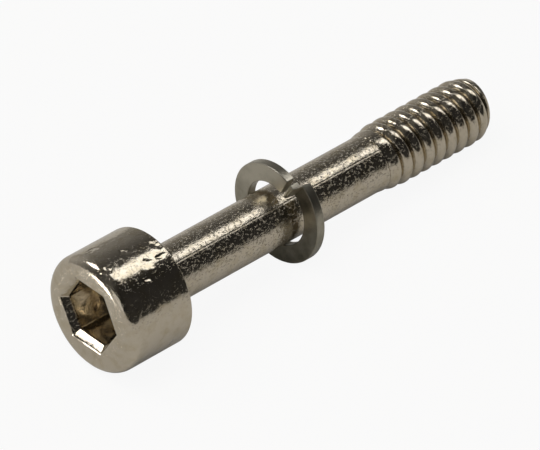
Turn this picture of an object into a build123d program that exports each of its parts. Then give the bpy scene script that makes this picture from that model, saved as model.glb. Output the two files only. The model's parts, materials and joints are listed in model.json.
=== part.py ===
from build123d import *
from math import asin, atan, cos, degrees, hypot, radians, sin, tan
import os

os.makedirs("parts", exist_ok=True)

# All sizes are in millimetres. The screw is made along +X, with x = 0 at the underside of its head,
# and is then laid on the floor with its head towards -X.

# Head: a plain round cap, headed from the same wire as the shank
head_diameter = 5.05
head_height = 3.20
head_front_radius = 0.50
head_back_radius = 0.10
neck_radius = 0.12

# Thread: No. 4, 40 turns to the inch, shown here by its major diameter
thread_diameter = 2.80
thread_length = 6.45
runout_length = 1.20
tip_chamfer = 0.20

# Shank: the blank that the thread is rolled on, thinner than the crests that the rolling raises
crest_rise = 0.19
shank_diameter = thread_diameter - 2 * crest_rise
shank_length = 18.25

# Hexagon socket, 3/32 in across its flats, with a lead-in for the key and a dish in its flat floor
socket_across_flats = 2.38
socket_depth = 1.70
socket_mouth_chamfer = 0.26
socket_face_land = 0.15
dish_land = 0.34
dish_angle = 130

# Spring washer: one left-hand turn of flat wire, loose on the shank
washer_play = 0.25
washer_wall = 0.795
washer_thickness = 0.43
washer_rise = 0.50
washer_edge_radius = 0.05
washer_gap_angle = 5
washer_split_angle = 28
washer_seat_gap = 0.065


# One turned outline, revolved round the axis, then rounded where the head was formed
def screw_blank():
    head_r = head_diameter / 2
    shank_r = shank_diameter / 2
    thread_r = thread_diameter / 2
    thread_start = shank_length - thread_length
    outline = Polyline(
        (-head_height, 0),
        (-head_height, head_r),
        (0, head_r),
        (0, shank_r),
        (thread_start, shank_r),
        (thread_start + runout_length, thread_r),
        (shank_length - tip_chamfer, thread_r),
        (shank_length, thread_r - tip_chamfer),
        (shank_length, 0),
        close=True,
    )
    blank = revolve(make_face(outline), Axis.X)
    blank = fillet(circle_at(blank, -head_height, head_r), front_radius())
    blank = fillet(circle_at(blank, 0, head_r), head_back_radius)
    return fillet(circle_at(blank, 0, shank_r), neck_radius)


# The front rim's radius, kept clear of the socket's corners
def front_radius():
    mouth_corner = (socket_across_flats / 2 + socket_mouth_chamfer) / cos(radians(30))
    return min(head_front_radius, head_diameter / 2 - mouth_corner - socket_face_land)


# The round edge of a turned solid at one place along the axis
def circle_at(solid, x, radius):
    rings = solid.edges().filter_by(GeomType.CIRCLE)
    return [e for e in rings if abs(e.center().X - x) < 0.001 and abs(e.radius - radius) < 0.001]


# The space that the key fills: a hexagon with two flats level, and the shallow cone in its floor
def socket_space():
    mouth = Plane(origin=(-head_height, 0, 0), x_dir=(0, 1, 0), z_dir=(1, 0, 0))
    hexagon = RegularPolygon(socket_across_flats / 2, 6, major_radius=False)
    prism = extrude(mouth * hexagon, socket_depth)
    dish_r = socket_across_flats / 2 - dish_land
    dish_depth = dish_r / tan(radians(dish_angle / 2))
    dish = Cone(dish_r, 0, dish_depth, align=(Align.CENTER, Align.CENTER, Align.MIN))
    return prism + mouth * Pos(0, 0, socket_depth) * dish


# Screw in its own frame: blank, socket, and the lead-in round the socket's mouth
def make_screw():
    screw = screw_blank() - socket_space()
    front = screw.faces().sort_by(Axis.X)[0]
    mouth_edges = front.inner_wires()[0].edges()
    return chamfer(mouth_edges, socket_mouth_chamfer)


# Washer round +Z, its split at +X: flat wire swept along one open left-hand turn
def make_washer():
    middle_radius = shank_diameter / 2 + washer_play + washer_wall / 2
    turn = 1 - washer_gap_angle / 360
    path = Helix(washer_rise, washer_rise * turn, middle_radius, lefthand=True)
    wire = RectangleRounded(washer_wall, washer_thickness, washer_edge_radius)
    start = Plane(origin=path @ 0, x_dir=(1, 0, 0), z_dir=path % 0)
    coil = sweep(start * wire, path=path, is_frenet=True)
    return Rot(0, 0, -washer_gap_angle / 2) * Pos(0, 0, -washer_rise * turn / 2) * coil


# Lying angle: the back rim of the head and the end of the thread both touch the floor
def lying_angle():
    reach = shank_length - tip_chamfer + head_back_radius
    drop = (thread_diameter - head_diameter) / 2 + head_back_radius
    return asin(head_back_radius / hypot(reach, drop)) - atan(drop / reach)


# Place of the screw's own frame once it lies on the floor
def lying_place(lean):
    rim_centre_height = (head_diameter / 2 - head_back_radius) * cos(lean)
    height = rim_centre_height + head_back_radius * (1 - sin(lean))
    return Pos(0, 0, height) * Rot(0, degrees(lean), 0)


# Place of the washer under the head: pushed up by the floor, almost as far as its bore's play allows
def washer_place():
    tilt = radians(washer_split_angle)
    split = (0, -sin(tilt), cos(tilt))
    lift = washer_play - washer_seat_gap
    return Plane(origin=(0, 0, lift), x_dir=split, z_dir=(1, 0, 0)).location


# The washer slid down the falling shank until its lowest point stands on the floor
def slide_to_floor(washer, lean):
    height = washer.bounding_box().min.Z
    return Pos(height / tan(lean), 0, -height) * washer


lean = lying_angle()
lying = lying_place(lean)
jack_screw = lying * make_screw()
spring_washer = slide_to_floor(lying * washer_place() * make_washer(), lean)

# Origin on the floor, under the middle of the screw
middle = Pos(-jack_screw.bounding_box().center().X, 0, 0)
jack_screw = middle * jack_screw
spring_washer = middle * spring_washer

export_step(jack_screw, "parts/jack_screw.step")
export_step(spring_washer, "parts/spring_washer.step")
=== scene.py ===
import bmesh
import bpy
import json
from math import atan2, cos, degrees, hypot, pi, radians, sin, tan
from mathutils import Matrix, Vector

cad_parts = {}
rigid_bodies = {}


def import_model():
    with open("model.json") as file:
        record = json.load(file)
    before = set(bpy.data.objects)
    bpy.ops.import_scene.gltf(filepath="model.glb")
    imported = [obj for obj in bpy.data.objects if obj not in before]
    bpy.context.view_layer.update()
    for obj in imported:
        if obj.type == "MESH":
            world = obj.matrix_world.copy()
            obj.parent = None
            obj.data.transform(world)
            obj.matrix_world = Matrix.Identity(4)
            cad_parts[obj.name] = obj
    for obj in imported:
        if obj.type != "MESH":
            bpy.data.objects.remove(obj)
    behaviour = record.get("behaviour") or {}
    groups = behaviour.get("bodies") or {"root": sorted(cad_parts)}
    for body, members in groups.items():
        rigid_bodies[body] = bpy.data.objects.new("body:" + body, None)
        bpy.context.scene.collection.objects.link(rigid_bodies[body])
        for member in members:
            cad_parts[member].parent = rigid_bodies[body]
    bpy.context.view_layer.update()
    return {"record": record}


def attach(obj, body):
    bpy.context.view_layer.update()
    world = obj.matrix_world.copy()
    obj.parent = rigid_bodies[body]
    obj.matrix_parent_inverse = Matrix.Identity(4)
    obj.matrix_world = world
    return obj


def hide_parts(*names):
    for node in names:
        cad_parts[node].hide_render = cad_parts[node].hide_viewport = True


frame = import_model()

mounts = {mount["name"]: mount for mount in frame["record"]["mounts"]}
tolerance = 0.001        # places this near to each other, in millimetres, are the same

# Both pieces are modelled in millimetres along X, with x = 0 at the underside of the head,
# and are then laid where the frame has them
screwSizes = {
    "headRadius": 2.525,
    "headHeight": 3.2,
    "frontRounding": 0.5,
    "backRounding": 0.1,
    "neckRounding": 0.12,
    "shankRadius": 1.21,
    "shankLength": 18.25,
    "socketAcrossFlats": 2.38,
    "socketDepth": 1.7,
    "socketCornerRounding": 0.04,
    "socketLeadIn": 0.25,
    "socketLeadDepth": 0.32,
    "socketEdgeRounding": 0.08,
    "socketOffset": (0, 0.096, 0.045),        # punched a little off the middle
    "dishRadius": 0.85,
    "dishAngle": 130,
    "roundSegments": 120,
    "socketCornerSegments": 4,
    "smoothAngle": 40,       # edges that bend more than this stay sharp
}

threadSizes = {
    "start": 11.75,
    "fullDepthAt": 13.2,
    "pitch": 0.635,
    "crestRadius": 1.4,
    "rootRadius": 0.95,
    "crestFullness": 2.2,    # 2 is a half-round crest, more is flatter on top
    "crestAt": 13.63,        # a crest's place along the screw
    "crestTurn": -48,        # and its place round the screw, in degrees from the top
    "rootBlend": 0.12,
    "tipRadius": 1.17,
    "tipTaper": 0.36,        # how fast the thread narrows towards its end
    "tipBlend": 0.1,
    "endSkew": 0.12,         # slope of the end, which was sheared off a little out of square
    "skewFrom": 0.97,        # how far from the axis the end keeps its place
    "skewLength": 1,
    "ringsPerSection": 95,
    "sections": 3,
}

washerSizes = {
    "boreRadius": 1.46,
    "wall": 0.795,
    "thickness": 0.43,
    "rise": 0.5,
    "gapAngle": 5,
    "splitAngle": 28,
    "edgeRounding": 0.05,
    "keystone": 0.08,        # the coiled section is a little thicker at the bore
    "endRounding": 0.03,
    "centre": (7.037, -0.075, 0.189),
    "segments": 142,
    "smoothAngle": 35,
}

view = {
    "lens": 400,
    "sensorWidth": 36,
    "place": (-0.128663, -0.131960, 0.155609),
    "right": (0.71833, -0.69570, 0),
    "up": (0.44674, 0.46127, 0.76658),
    "back": (-0.53331, -0.55066, 0.64215),
    "clip": (0.01, 10),
}


# Camera at the photograph's viewing angle
def addCamera(view):
    cameraData = bpy.data.cameras.new("camera")
    cameraData.lens = view["lens"]
    cameraData.sensor_width = view["sensorWidth"]
    cameraData.clip_start, cameraData.clip_end = view["clip"]
    camera = bpy.data.objects.new("camera", cameraData)
    bpy.context.scene.collection.objects.link(camera)
    turn = Matrix((view["right"], view["up"], view["back"])).transposed().to_4x4()
    camera.matrix_world = Matrix.Translation(view["place"]) @ turn
    bpy.context.scene.camera = camera


# In edit mode, selects only what passes the test
def pick(kind, test):
    bpy.ops.mesh.select_mode(type=kind)
    bpy.ops.mesh.select_all(action="DESELECT")
    mesh = bmesh.from_edit_mesh(bpy.context.object.data)
    parts = {"VERT": mesh.verts, "EDGE": mesh.edges, "FACE": mesh.faces}[kind]
    for part in parts:
        if test(part):
            part.select_set(True)
    bmesh.update_edit_mesh(bpy.context.object.data)


# Test for the edges of a ring round the axis
def ringTest(x, radius):
    def onRing(place):
        return abs(place.x - x) < 2 * tolerance and abs(hypot(place.y, place.z) - radius) < 10 * tolerance
    return lambda edge: all(onRing(vertex.co) for vertex in edge.verts)


# Carries the open end of the turned blank on to the next place and radius
def turnOn(fromX, fromRadius, x, radius):
    bpy.ops.mesh.extrude_region_move(TRANSFORM_OT_translate={"value": (x - fromX, 0, 0)})
    ratio = radius / fromRadius
    bpy.ops.transform.resize(value=(1, ratio, ratio), center_override=(x, 0, 0))


def turnBlank(sizes, thread):
    headFront = -sizes["headHeight"]
    headRadius = sizes["headRadius"]
    shankRadius = sizes["shankRadius"]
    bpy.ops.mesh.primitive_circle_add(
        vertices=sizes["roundSegments"], radius=headRadius,
        location=(headFront, 0, 0), rotation=(0, pi / 2, 0)
    )
    bpy.ops.object.transform_apply(location=True, rotation=True, scale=True)
    bpy.ops.object.mode_set(mode="EDIT")
    bpy.ops.mesh.select_all(action="SELECT")
    turnOn(headFront, headRadius, 0, headRadius)
    turnOn(0, headRadius, 0, shankRadius)
    turnOn(0, shankRadius, thread["start"], shankRadius)
    step = (sizes["shankLength"] - thread["start"]) / thread["sections"]
    for section in range(thread["sections"]):
        x = thread["start"] + step * section
        turnOn(x, shankRadius, x + step, shankRadius)


# Fine rings for the thread to be rolled on
def ringThread(thread):
    def longAndThreaded(edge):
        first, last = sorted(vertex.co.x for vertex in edge.verts)
        return first > thread["start"] - tolerance and last - first > thread["pitch"]
    pick("EDGE", longAndThreaded)
    bpy.ops.mesh.subdivide(number_cuts=thread["ringsPerSection"])


# Flat end, in rings that narrow to a point
def closeTip(sizes):
    x = sizes["shankLength"]
    radius = sizes["shankRadius"]
    pick("EDGE", ringTest(x, radius))
    shares = (1, 0.8, 0.45, 0.2)
    for before, share in zip(shares, shares[1:]):
        turnOn(x, radius * before, x, radius * share)
    bpy.ops.mesh.extrude_region_move()
    bpy.ops.mesh.merge(type="CENTER")


# Hexagon with a lead-in for the key at its mouth and a dish in its floor
def cutSocket(sizes):
    front = -sizes["headHeight"]
    floorAt = front + sizes["socketDepth"]
    lead = sizes["socketLeadIn"]
    leadDepth = sizes["socketLeadDepth"]
    inner = sizes["socketAcrossFlats"] / 2
    corner = (inner + lead) / cos(pi / 6)
    # as many edges round the mouth as round the head
    cuts = sizes["roundSegments"] // 6 - sizes["socketCornerSegments"] - 1
    bpy.ops.mesh.select_all(action="DESELECT")
    bpy.ops.mesh.primitive_circle_add(
        vertices=6, radius=corner, fill_type="NGON", location=(front, 0, 0), rotation=(0, pi / 2, 0)
    )
    rounding = sizes["socketCornerRounding"]
    bpy.ops.mesh.bevel(offset=rounding, segments=sizes["socketCornerSegments"], affect="VERTICES")
    pick("EDGE", lambda e: onLoop(e, front) and e.calc_length() > inner and withinReach(e, corner))
    bpy.ops.mesh.subdivide(number_cuts=cuts)
    pick("FACE", hasManySides)
    bpy.ops.mesh.extrude_region_move(TRANSFORM_OT_translate={"value": (leadDepth, 0, 0)})
    ratio = inner / (inner + lead)
    bpy.ops.transform.resize(value=(1, ratio, ratio), center_override=(front + leadDepth, 0, 0))
    wallDepth = sizes["socketDepth"] - leadDepth
    bpy.ops.mesh.extrude_region_move(TRANSFORM_OT_translate={"value": (wallDepth, 0, 0)})
    pick("FACE", hasManySides)        # both ends of the hexagon are left open
    bpy.ops.mesh.delete(type="ONLY_FACE")
    dishFloor(sizes, floorAt)
    # the flat floor between the flats and the dish, then the face round the mouth
    pick("EDGE", lambda e: onLoop(e, floorAt) and len(e.link_faces) == 1)
    bpy.ops.mesh.bridge_edge_loops()
    bpy.ops.mesh.select_linked()
    bpy.ops.transform.translate(value=sizes["socketOffset"])
    pick("EDGE", lambda e: onLoop(e, front) and len(e.link_faces) == 1)
    bpy.ops.mesh.bridge_edge_loops()


# Shallow cone that the floor runs down into
def dishFloor(sizes, floorAt):
    bpy.ops.mesh.select_mode(type="EDGE")
    bpy.ops.mesh.select_all(action="DESELECT")
    rim = sizes["dishRadius"]
    bpy.ops.mesh.primitive_circle_add(
        vertices=sizes["roundSegments"], radius=rim, location=(floorAt, 0, 0), rotation=(0, pi / 2, 0)
    )
    depth = rim / tan(radians(sizes["dishAngle"] / 2))
    shares = (1, 0.75, 0.5, 0.25, 0.06)
    for before, share in zip(shares, shares[1:]):
        turnOn(floorAt + depth * (1 - before), rim * before, floorAt + depth * (1 - share), rim * share)
    bpy.ops.mesh.extrude_region_move()
    bpy.ops.mesh.merge(type="CENTER")


# The flat ends of what was extruded or spun: every other face has three or four sides
def hasManySides(face):
    return len(face.verts) > 4


def onLoop(edge, x):
    return all(abs(v.co.x - x) < tolerance for v in edge.verts)


def withinReach(edge, radius):
    middle = (edge.verts[0].co + edge.verts[1].co) / 2
    return hypot(middle.y, middle.z) < radius


def roundEdges(sizes):
    front = -sizes["headHeight"]
    corner = (sizes["socketAcrossFlats"] / 2 + sizes["socketLeadIn"]) / cos(pi / 6)
    reach = corner + 0.12        # the socket is a little off the middle
    pick("EDGE", ringTest(front, sizes["headRadius"]))
    bpy.ops.mesh.bevel(offset=sizes["frontRounding"], segments=10, affect="EDGES")
    pick("EDGE", ringTest(0, sizes["headRadius"]))
    bpy.ops.mesh.bevel(offset=sizes["backRounding"], segments=4, affect="EDGES")
    pick("EDGE", ringTest(0, sizes["shankRadius"]))
    bpy.ops.mesh.bevel(offset=sizes["neckRounding"], segments=4, affect="EDGES")

    # both edges of the lead-in
    def leadEdge(edge):
        bent = edge.calc_face_angle(0) > radians(15)
        x = edge.verts[0].co.x
        nearMouth = x < front + 2 * sizes["socketLeadDepth"]
        return bent and nearMouth and onLoop(edge, x) and withinReach(edge, reach)
    pick("EDGE", leadEdge)
    bpy.ops.mesh.bevel(offset=sizes["socketEdgeRounding"], segments=2, affect="EDGES")


# The smaller of two values, blended where they are close, and then the larger
def smallest(a, b, blend):
    h = max(blend - abs(a - b), 0) / blend
    return min(a, b) - h * h * blend / 4


def largest(a, b, blend):
    return -smallest(-a, -b, blend)


# Outline of the thread: rounded crests between narrow roots, easing out of the shank
def threadRadius(x, turn, sizes, thread):
    pitch = thread["pitch"]
    along = (x - thread["crestAt"]) / pitch - (turn - thread["crestTurn"]) / 360
    offCrest = min(abs(along - round(along)) * 2, 1)        # 0 on a crest, 1 in the root
    fullness = thread["crestFullness"]
    swell = (1 - offCrest ** fullness) ** (1 / fullness)
    rootRadius = thread["rootRadius"]
    radius = rootRadius + (thread["crestRadius"] - rootRadius) * swell
    radius = largest(radius, rootRadius, thread["rootBlend"])
    share = min(max((x - thread["start"]) / (thread["fullDepthAt"] - thread["start"]), 0), 1)
    ease = share * share * (3 - 2 * share)
    radius = sizes["shankRadius"] + (radius - sizes["shankRadius"]) * ease
    taper = thread["tipRadius"] + thread["tipTaper"] * (sizes["shankLength"] - x)
    return smallest(radius, taper, thread["tipBlend"])


# How far the skewed end pushes a point back along the screw
def endShift(place, sizes, thread):
    tilt = radians(thread["crestTurn"])
    short = thread["skewFrom"] - place.z * cos(tilt) + place.y * sin(tilt)
    nearEnd = min(max((place.x - sizes["shankLength"]) / thread["skewLength"] + 1, 0), 1)
    return thread["endSkew"] * short * nearEnd * nearEnd


# Moves the ringed stock's points out to the crests and in to the roots
def rollThread(piece, sizes, thread):
    tipRadius = threadRadius(sizes["shankLength"], 0, sizes, thread)
    for vertex in piece.data.vertices:
        x, y, z = vertex.co
        if x < thread["start"] + tolerance:
            continue
        radius = hypot(y, z)
        atEnd = x > sizes["shankLength"] - tolerance
        inEndFace = atEnd and radius < sizes["shankRadius"] - 10 * tolerance
        if inEndFace:
            ratio = tipRadius / sizes["shankRadius"]
        else:
            ratio = threadRadius(x, degrees(atan2(-y, z)), sizes, thread) / radius
        vertex.co = (x, y * ratio, z * ratio)
        vertex.co.x -= endShift(vertex.co, sizes, thread)


# Merges doubles, turns faces outward and smooths what isn't a sharp edge
def finishPiece(piece, angle):
    bpy.ops.object.mode_set(mode="EDIT")
    bpy.ops.mesh.select_all(action="SELECT")
    bpy.ops.mesh.remove_doubles(threshold=tolerance / 2)
    bpy.ops.mesh.normals_make_consistent(inside=False)
    bpy.ops.object.mode_set(mode="OBJECT")
    bpy.ops.object.shade_smooth_by_angle(angle=radians(angle))
    bpy.ops.object.modifier_add(type="WEIGHTED_NORMAL")
    piece.modifiers[-1].keep_sharp = True
    bpy.ops.object.modifier_apply(modifier=piece.modifiers[-1].name)


# Moves a finished mesh from the maker's frame, in millimetres, to its place on the floor, in metres
def layInPlace(piece):
    along = Vector(mounts["thread"]["axis"])
    faceCentre = Vector(mounts["hex_socket"]["pos_m"])
    up = Vector((-along.z, 0, along.x))
    turn = Matrix((along, Vector((0, 1, 0)), up)).transposed().to_4x4()
    seat = faceCentre + along * screwSizes["headHeight"] / 1000
    piece.data.transform(Matrix.Translation(seat) @ turn @ Matrix.Scale(0.001, 4))
    piece.data.update()


def makeScrew(sizes, thread):
    bpy.ops.object.select_all(action="DESELECT")
    turnBlank(sizes, thread)
    ringThread(thread)
    closeTip(sizes)
    cutSocket(sizes)
    roundEdges(sizes)
    bpy.ops.object.mode_set(mode="OBJECT")
    screw = bpy.context.object
    screw.name = "screw"
    rollThread(screw, sizes, thread)
    finishPiece(screw, sizes["smoothAngle"])
    layInPlace(screw)
    return screw


# Split washer: a flat section spun round the axis, then drawn out into its coil
def makeWasher(sizes):
    bpy.ops.object.select_all(action="DESELECT")
    middle = sizes["boreRadius"] + sizes["wall"] / 2
    bpy.ops.mesh.primitive_plane_add(size=1, location=(0, 0, middle), rotation=(pi / 2, 0, 0))
    bpy.ops.object.transform_apply(location=True, rotation=True, scale=True)
    bpy.ops.object.mode_set(mode="EDIT")
    bpy.ops.mesh.select_all(action="SELECT")
    bpy.ops.transform.resize(value=(sizes["thickness"], 1, sizes["wall"]), center_override=(0, 0, middle))
    bpy.ops.mesh.bevel(offset=sizes["edgeRounding"], segments=4, affect="VERTICES")
    bpy.ops.mesh.select_all(action="SELECT")
    arc = 2 * pi - radians(sizes["gapAngle"])
    bpy.ops.mesh.spin(steps=sizes["segments"], angle=-arc, center=(0, 0, 0), axis=(1, 0, 0))
    pick("FACE", hasManySides)        # both ends of the wire
    bpy.ops.mesh.region_to_loop()
    bpy.ops.mesh.bevel(offset=sizes["endRounding"], segments=3, affect="EDGES")
    bpy.ops.object.mode_set(mode="OBJECT")
    washer = bpy.context.object
    washer.name = "splitWasher"
    coilWasher(washer, sizes)
    finishPiece(washer, sizes["smoothAngle"])
    layInPlace(washer)
    return washer


# Left-hand coil: it starts past the split, nearest to the head, and works towards the tip
def coilWasher(piece, sizes):
    arc = 2 * pi - radians(sizes["gapAngle"])
    start = radians(sizes["gapAngle"] / 2 - sizes["splitAngle"])
    middle = sizes["boreRadius"] + sizes["wall"] / 2
    slack = 0.1        # keeps points at the first end from wrapping round to the last
    for vertex in piece.data.vertices:
        x, y, z = vertex.co
        radius = hypot(y, z)
        turn = (atan2(y, z) + slack) % (2 * pi) - slack
        thick = 1 + sizes["keystone"] * (middle - radius) / sizes["wall"]
        slide = sizes["rise"] * (turn - arc / 2) / (2 * pi)
        local = Vector((slide + x * thick, radius * sin(turn + start), radius * cos(turn + start)))
        vertex.co = local + Vector(sizes["centre"])


def addNode(tree, kind, place, inputs=None, **settings):
    node = tree.nodes.new(kind)
    node.location = place
    for name, value in settings.items():
        setattr(node, name, value)
    for name, value in (inputs or {}).items():
        if isinstance(value, bpy.types.NodeSocket):
            tree.links.new(value, node.inputs[name])
        else:
            node.inputs[name].default_value = value
    return node


def addMath(tree, place, operation, a, b=0.0, **settings):
    return addNode(tree, "ShaderNodeMath", place, {0: a, 1: b}, operation=operation, **settings).outputs[0]


def addRange(tree, place, value, fromEnds, toEnds=(0.0, 1.0), smooth=False):
    return addNode(tree, "ShaderNodeMapRange", place, {
        "Value": value,
        "From Min": fromEnds[0],
        "From Max": fromEnds[1],
        "To Min": toEnds[0],
        "To Max": toEnds[1],
    }, interpolation_type="SMOOTHSTEP" if smooth else "LINEAR").outputs["Result"]


def addNoise(tree, place, vector, scale, detail, roughness=0.5):
    return addNode(tree, "ShaderNodeTexNoise", place, {
        "Vector": vector, "Scale": scale, "Detail": detail, "Roughness": roughness}).outputs


# Relief of a height, in metres, on top of the relief before it
def addBump(tree, place, height, depth, under=None, **settings):
    inputs = {"Height": height, "Distance": depth, "Strength": 1.0}
    if under is not None:
        inputs["Normal"] = under
    return addNode(tree, "ShaderNodeBump", place, inputs, **settings).outputs["Normal"]


def mixColors(tree, place, factor, first, second):
    return addNode(tree, "ShaderNodeMix", place, {
        "Factor": factor, "A": (*first, 1), "B": (*second, 1)}, data_type="RGBA").outputs[2]


def finishMetal(tree, place, color, roughness, normal):
    shader = addNode(tree, "ShaderNodeBsdfPrincipled", place, {
        "Base Color": color, "Metallic": 1.0, "Roughness": roughness, "Normal": normal})
    beside = (place[0] + 300, place[1])
    addNode(tree, "ShaderNodeOutputMaterial", beside, {"Surface": shader.outputs["BSDF"]})


def startMaterial(name):
    material = bpy.data.materials.new(name)
    material.use_nodes = True
    material.node_tree.nodes.clear()
    return material, material.node_tree


# Coordinates in millimetres along and across the screw, with x = 0 at the underside of the head
def screwCoordinates(tree):
    along = Vector(mounts["thread"]["axis"])
    lean = atan2(-along.z, along.x)
    seat = Vector(mounts["hex_socket"]["pos_m"]) * 1000 + along * screwSizes["headHeight"]
    turn = Matrix.Rotation(-lean, 3, "Y")
    coordinates = addNode(tree, "ShaderNodeTexCoord", (-1900, 0))
    return addNode(tree, "ShaderNodeMapping", (-1700, 0), {
        "Vector": coordinates.outputs["Object"],
        "Scale": (1000, 1000, 1000),
        "Rotation": (0, -lean, 0),
        "Location": -(turn @ seat),
    }).outputs["Vector"]


nickelLook = {
    "color": (0.60, 0.54, 0.44),
    "tarnish": (0.50, 0.43, 0.30),
    "roughness": 0.08,
    "hazeRoughness": 0.15,
    "cloudScale": 2.2,            # clouds of haze and tarnish
    "hazeBetween": (0.4, 0.75),
    "tarnishBetween": (0.45, 0.8),
    "grainScale": 10.0,           # grain and pits of the drawn shank
    "grainDepth": 0.000014,
    "grainStretch": (0.8, 1, 1),
    "pitDepth": 0.00001,
    "pitBetween": (0.56, 0.66),   # where the grain drops into pits
    "grainFrom": 0.1,             # full grain from here to a little past the start of the thread
    "grainPastRunout": 0.3,
    "grainFade": 0.4,
    "grainOnHead": 0.2,           # shares of the grain on the head and the thread
    "grainOnThread": 0.4,
    "waveScale": 1.5,             # slow waves under the plating
    "waveDepth": 0.00002,
    "dentDepth": 0.00003,
    "dentStray": 0.7,             # how uneven the dents' outlines are
    "dentStrayScale": 2.2,
    "dents": [                    # each one's place along the screw, across it and up, and its reach
        ((-1.15, -1.02, 2.3), 0.32), ((-2.6, -1.95, 1.62), 0.3), ((-1.55, -0.2, 2.52), 0.3),
        ((-0.48, -1.05, 2.3), 0.26), ((-2.85, -0.5, 2.47), 0.22), ((-1.57, -1.5, 2.05), 0.24),
        ((-0.25, -0.6, 2.45), 0.3), ((-2.2, 0.9, 2.35), 0.25), ((-1.2, 2.3, 1.0), 0.4),
        ((-2.0, 1.6, -1.95), 0.3), ((-0.9, -2.2, -1.2), 0.35), ((-0.8, 0.4, -2.5), 0.4),
    ],
    "scratchTurn": -31,           # where the die's scratch runs along the shank, in degrees from the top
    "scratchWidth": 0.045,
    "scratchDepth": 0.000012,
    "ringPitch": 0.22,            # rings that the punch left in the socket's floor
    "ringDepth": 0.000004,
    "ringBand": (-0.1, 0.5),      # from the socket's floor into the screw
    "ringFade": 0.05,
}


# 1 between two places along the screw, 0 outside them
def between(tree, along, place, start, end, fade):
    rise = addRange(tree, place, along, (start - fade, start))
    fall = addRange(tree, (place[0], place[1] - 150), along, (end, end + fade), (1.0, 0.0))
    return addMath(tree, (place[0] + 200, place[1]), "MULTIPLY", rise, fall)


# Grain with pits in it, strongest on the plain shank
def grainRelief(tree, place, along, onShank, look):
    stretch = addNode(tree, "ShaderNodeMapping", (-1250, 300), {
        "Vector": place, "Scale": look["grainStretch"]})
    grain = addNoise(tree, (-1000, 300), stretch.outputs["Vector"], look["grainScale"], 3.0, 0.65)["Fac"]
    # the head's share before the shank, the thread's after it
    offShank = addRange(tree, (-800, 100), along, (0.0, 1.0), (look["grainOnHead"], look["grainOnThread"]))
    share = addMath(tree, (-700, 300), "MAXIMUM", onShank, offShank)
    pitShare = look["pitDepth"] / look["grainDepth"]
    pits = addRange(tree, (-800, 500), grain, look["pitBetween"], (0.0, pitShare), smooth=True)
    rough = addMath(tree, (-700, 450), "ADD", grain, pits)
    height = addMath(tree, (-600, 300), "MULTIPLY", rough, share)
    return addBump(tree, (-400, 300), height, look["grainDepth"])


# A few dents with uneven outlines: 1 in the middle of each, 0 away from them
def dentHeight(tree, place, look):
    uneven = addNoise(tree, (-1700, 700), place, look["dentStrayScale"], 1.0)["Color"]
    centred = addNode(tree, "ShaderNodeVectorMath", (-1500, 700), {
        0: uneven, 1: (0.5, 0.5, 0.5)}, operation="SUBTRACT")
    strayed = addNode(tree, "ShaderNodeVectorMath", (-1350, 700), {
        0: centred.outputs[0], 1: (look["dentStray"],) * 3, 2: place}, operation="MULTIPLY_ADD")
    total = 0.0
    for number, (centre, reach) in enumerate(look["dents"]):
        row = 700 + 150 * number
        away = addNode(tree, "ShaderNodeVectorMath", (-1150, row), {
            0: strayed.outputs[0], 1: centre}, operation="DISTANCE")
        hollow = addRange(tree, (-950, row), away.outputs["Value"], (0.0, reach), (1.0, 0.0), smooth=True)
        total = addMath(tree, (-750, row), "ADD", hollow, total)
    return total


# The die's scratch along the shank: 0 in the groove, 1 beside it
def scratchHeight(tree, parts, onShank, look):
    turn = addMath(tree, (-1000, -1400), "ARCTAN2", parts["Y"], parts["Z"])
    offScratch = addMath(tree, (-800, -1400), "SUBTRACT", turn, radians(look["scratchTurn"]))
    away = addMath(tree, (-600, -1400), "ABSOLUTE", offScratch)
    halfWidth = look["scratchWidth"] / screwSizes["shankRadius"]
    groove = addRange(tree, (-400, -1400), away, (0.0, halfWidth), smooth=True)
    return addMath(tree, (-200, -1400), "MULTIPLY", groove, onShank)


# The punch's rings in the floor of the socket
def ringHeight(tree, parts, inSocket, look):
    across = addNode(tree, "ShaderNodeCombineXYZ", (-1000, -1700), {
        "X": 0.0, "Y": parts["Y"], "Z": parts["Z"]})
    offAxis = addNode(tree, "ShaderNodeVectorMath", (-800, -1700), {
        0: across.outputs["Vector"], 1: screwSizes["socketOffset"]}, operation="DISTANCE")
    rings = addMath(tree, (-600, -1700), "PINGPONG", offAxis.outputs["Value"], look["ringPitch"])
    return addMath(tree, (-400, -1700), "MULTIPLY", rings, inSocket)


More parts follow.
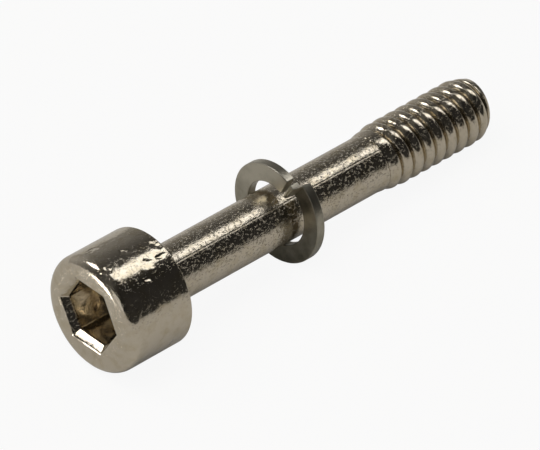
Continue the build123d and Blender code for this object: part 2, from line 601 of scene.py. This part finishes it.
# Bright nickel over the blank: pitted on the shank, dented on the head, ringed in the socket's floor
def nickelPlate(look):
    material, tree = startMaterial("nickelPlate")
    place = screwCoordinates(tree)
    parts = addNode(tree, "ShaderNodeSeparateXYZ", (-1250, -700), {"Vector": place}).outputs
    grainEnd = threadSizes["start"] + look["grainPastRunout"]
    onShank = between(tree, parts["X"], (-1000, -700), look["grainFrom"], grainEnd, look["grainFade"])
    ringStart, ringEnd = [screwSizes["socketDepth"] - screwSizes["headHeight"] + x for x in look["ringBand"]]
    inSocket = between(tree, parts["X"], (-1000, -1000), ringStart, ringEnd, look["ringFade"])

    relief = grainRelief(tree, place, parts["X"], onShank, look)
    waves = addNoise(tree, (-1000, 0), place, look["waveScale"], 1.0, 0.4)["Fac"]
    relief = addBump(tree, (-200, 300), waves, look["waveDepth"], relief)
    dents = dentHeight(tree, place, look)
    relief = addBump(tree, (0, 300), dents, look["dentDepth"], relief, invert=True)
    scratch = scratchHeight(tree, parts, onShank, look)
    relief = addBump(tree, (200, 300), scratch, look["scratchDepth"], relief)
    rings = ringHeight(tree, parts, inSocket, look)
    relief = addBump(tree, (400, 300), rings, look["ringDepth"] / look["ringPitch"], relief)

    cloud = addNoise(tree, (-1000, -300), place, look["cloudScale"], 4.0, 0.6)["Fac"]
    hazeEnds = (look["roughness"], look["hazeRoughness"])
    haze = addRange(tree, (-700, -300), cloud, look["hazeBetween"], hazeEnds)
    tint = addRange(tree, (-700, -500), cloud, look["tarnishBetween"])
    color = mixColors(tree, (-450, -400), tint, look["color"], look["tarnish"])
    finishMetal(tree, (650, 0), color, haze, relief)
    return material


washerLook = {
    "color": (0.46, 0.43, 0.355),
    "paintedShade": (0.15, 0.14, 0.105),  # painted shade, darkest on the underside towards the floor
    "unshadedAbove": 1.6,            # heights from the screw's axis: no painted shade above the first, full painted shade below the second
    "fullShadeBelow": -2.0,
    "blotches": (-0.15, 0.25),    # how far clouds lighten or darken it
    "cloudScale": 2.0,
    "cloudBetween": (0.3, 0.7),
    "roughness": 0.30,
    "grainScale": 14.0,
    "grainDepth": 0.00001,
}


# Satin spring steel, with painted shade darkening it towards the floor
def washerSteel(look):
    material, tree = startMaterial("washerSteel")
    place = screwCoordinates(tree)
    grain = addNoise(tree, (-1000, 200), place, look["grainScale"], 3.0)["Fac"]
    relief = addBump(tree, (-400, 200), grain, look["grainDepth"])
    cloud = addNoise(tree, (-1000, -200), place, look["cloudScale"], 4.0)["Fac"]
    blotch = addRange(tree, (-800, -200), cloud, look["cloudBetween"], look["blotches"])
    height = addNode(tree, "ShaderNodeSeparateXYZ", (-1000, -500), {"Vector": place}).outputs["Z"]
    # painted shade: the colour darkens lower down on the washer, as shade falls on its underside
    shadeFromHeight = addRange(tree, (-800, -500), height, (look["unshadedAbove"], look["fullShadeBelow"]))
    # random blotches together with the painted shade from height
    blotchesAndShade = addMath(tree, (-600, -350), "ADD", blotch, shadeFromHeight, use_clamp=True)
    color = mixColors(tree, (-450, -200), blotchesAndShade, look["color"], look["paintedShade"])
    finishMetal(tree, (0, 0), color, look["roughness"], relief)
    return material


studio = {
    "sheetColor": (0.46, 0.445, 0.415),      # the pale sheet that the screw lies on
    "sheetSize": 4,
    "floorWhite": 0.92,                      # how much of the camera's view of the floor is plain white
    "floorWhiteInMetal": 0.1,
    "roomColor": (1, 0.98, 0.95),
    "roomLevels": [                          # light of the room, from -Y, 0, to +Y, 1
        (0.0, 0.04), (0.3, 0.02), (0.4, 0.05), (0.5, 0.12), (0.62, 0.08),
        (0.73, 0.08), (0.8, 0.13), (0.88, 0.22), (0.95, 0.33), (1.0, 0.42),
    ],
    "overheadLamp": {
        "target": (0, 0, 0.0025), "from": (0, 55), "far": 0.3, "size": (0.1, 0.36), "power": 0.2,
    },
    "backLamp": {
        "target": (0, 0, 0.0025), "from": (120, 47), "far": 0.3, "size": (0.1, 0.1), "power": 0.18,
    },
    "catchLamp": {
        "target": (-0.0107, 0, 0.0028), "from": (153, -5), "far": 0.0085, "size": (0.0024, 0.004),
        "power": 0.00018,
    },
    "frontLamp": {
        "target": (-0.0107, 0, 0.0028), "from": (184, 10), "far": 0.3, "size": (0.12, 0.12), "power": 0.03,
    },
    "fillLamp": {
        "target": (0, 0, 0.0025), "from": (180, 62), "far": 0.35, "size": (0.3, 0.3), "power": 1.0,
    },
}


# Pale sheet: near-white to the camera, with the screw's shadow on it
def makeFloor(look):
    bpy.ops.object.select_all(action="DESELECT")
    bpy.ops.mesh.primitive_plane_add(size=look["sheetSize"], location=(0, 0, 0))
    floorPlane = bpy.context.object
    floorPlane.name = "floor"
    material, tree = startMaterial("paleFloor")
    rays = addNode(tree, "ShaderNodeLightPath", (-1000, 100)).outputs
    seen = addMath(tree, (-800, 200), "ADD", rays["Is Camera Ray"], rays["Is Transmission Ray"])
    white = addMath(tree, (-600, 200), "MULTIPLY", seen, look["floorWhite"])
    inMetal = addMath(tree, (-600, 0), "MULTIPLY", rays["Is Glossy Ray"], look["floorWhiteInMetal"])
    share = addMath(tree, (-400, 100), "ADD", white, inMetal, use_clamp=True)
    matt = addNode(tree, "ShaderNodeBsdfDiffuse", (-250, -100), {"Color": (*look["sheetColor"], 1)})
    glow = addNode(tree, "ShaderNodeEmission", (-250, -250), {"Color": (1, 1, 1, 1), "Strength": 1.0})
    mix = addNode(tree, "ShaderNodeMixShader", (0, 0), {0: share, 1: matt.outputs[0], 2: glow.outputs[0]})
    addNode(tree, "ShaderNodeOutputMaterial", (200, 0), {"Surface": mix.outputs[0]})
    floorPlane.data.materials.append(material)


# Studio seen by the metal: pale backdrop behind, dim ceiling, dark room on the camera's side
def makeWorld(look):
    world = bpy.data.worlds.new("studio")
    bpy.context.scene.world = world
    world.use_nodes = True
    tree = world.node_tree
    tree.nodes.clear()
    coordinates = addNode(tree, "ShaderNodeTexCoord", (-1000, 0))
    parts = addNode(tree, "ShaderNodeSeparateXYZ", (-800, 0), {"Vector": coordinates.outputs["Generated"]})
    across = addRange(tree, (-600, 0), parts.outputs["Y"], (-1.0, 1.0))
    ramp = addNode(tree, "ShaderNodeValToRGB", (-400, 0), {"Fac": across})
    elements = ramp.color_ramp.elements
    while len(elements) > 1:
        elements.remove(elements[-1])
    for number, (position, level) in enumerate(look["roomLevels"]):
        element = elements[0] if number == 0 else elements.new(position)
        element.position = position
        element.color = (*[level * share for share in look["roomColor"]], 1)
    studioLight = addNode(tree, "ShaderNodeBackground", (-100, 0), {
        "Color": ramp.outputs["Color"], "Strength": 1.0})
    addNode(tree, "ShaderNodeOutputWorld", (100, 0), {"Surface": studioLight.outputs[0]})


# Lamp that faces its target from a direction, given as an azimuth from +X and a height in degrees
def addLamp(name, lampSizes):
    lampData = bpy.data.lights.new(name, "AREA")
    lampData.shape = "RECTANGLE"
    lampData.size, lampData.size_y = lampSizes["size"]
    lampData.energy = lampSizes["power"]
    lamp = bpy.data.objects.new(name, lampData)
    bpy.context.scene.collection.objects.link(lamp)
    azimuth, height = [radians(angle) for angle in lampSizes["from"]]
    back = Vector((cos(azimuth) * cos(height), sin(azimuth) * cos(height), sin(height)))
    across = Vector((-sin(azimuth), cos(azimuth), 0))
    place = Vector(lampSizes["target"]) + back * lampSizes["far"]
    turn = Matrix((across, back.cross(across), back)).transposed().to_4x4()
    lamp.matrix_world = Matrix.Translation(place) @ turn
    return lamp


addCamera(view)
print("camera placed")
screw = makeScrew(screwSizes, threadSizes)
screw.data.materials.append(nickelPlate(nickelLook))
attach(screw, "root")
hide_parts("jack_screw")
print("screw made")
splitWasher = makeWasher(washerSizes)
splitWasher.data.materials.append(washerSteel(washerLook))
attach(splitWasher, "root")
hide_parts("spring_washer")
print("washer made")
makeFloor(studio)
makeWorld(studio)
addLamp("overheadLamp", studio["overheadLamp"])
addLamp("backLamp", studio["backLamp"])
catchLamp = addLamp("catchLamp", studio["catchLamp"])        # small and low, beside the head
catchLamp.visible_camera = False
catchLamp.visible_diffuse = False
addLamp("frontLamp", studio["frontLamp"])        # it reaches the floor of the socket
addLamp("fillLamp", studio["fillLamp"]).visible_glossy = False        # it only lights the floor
bpy.context.scene.view_settings.view_transform = "Standard"
print("studio lit")
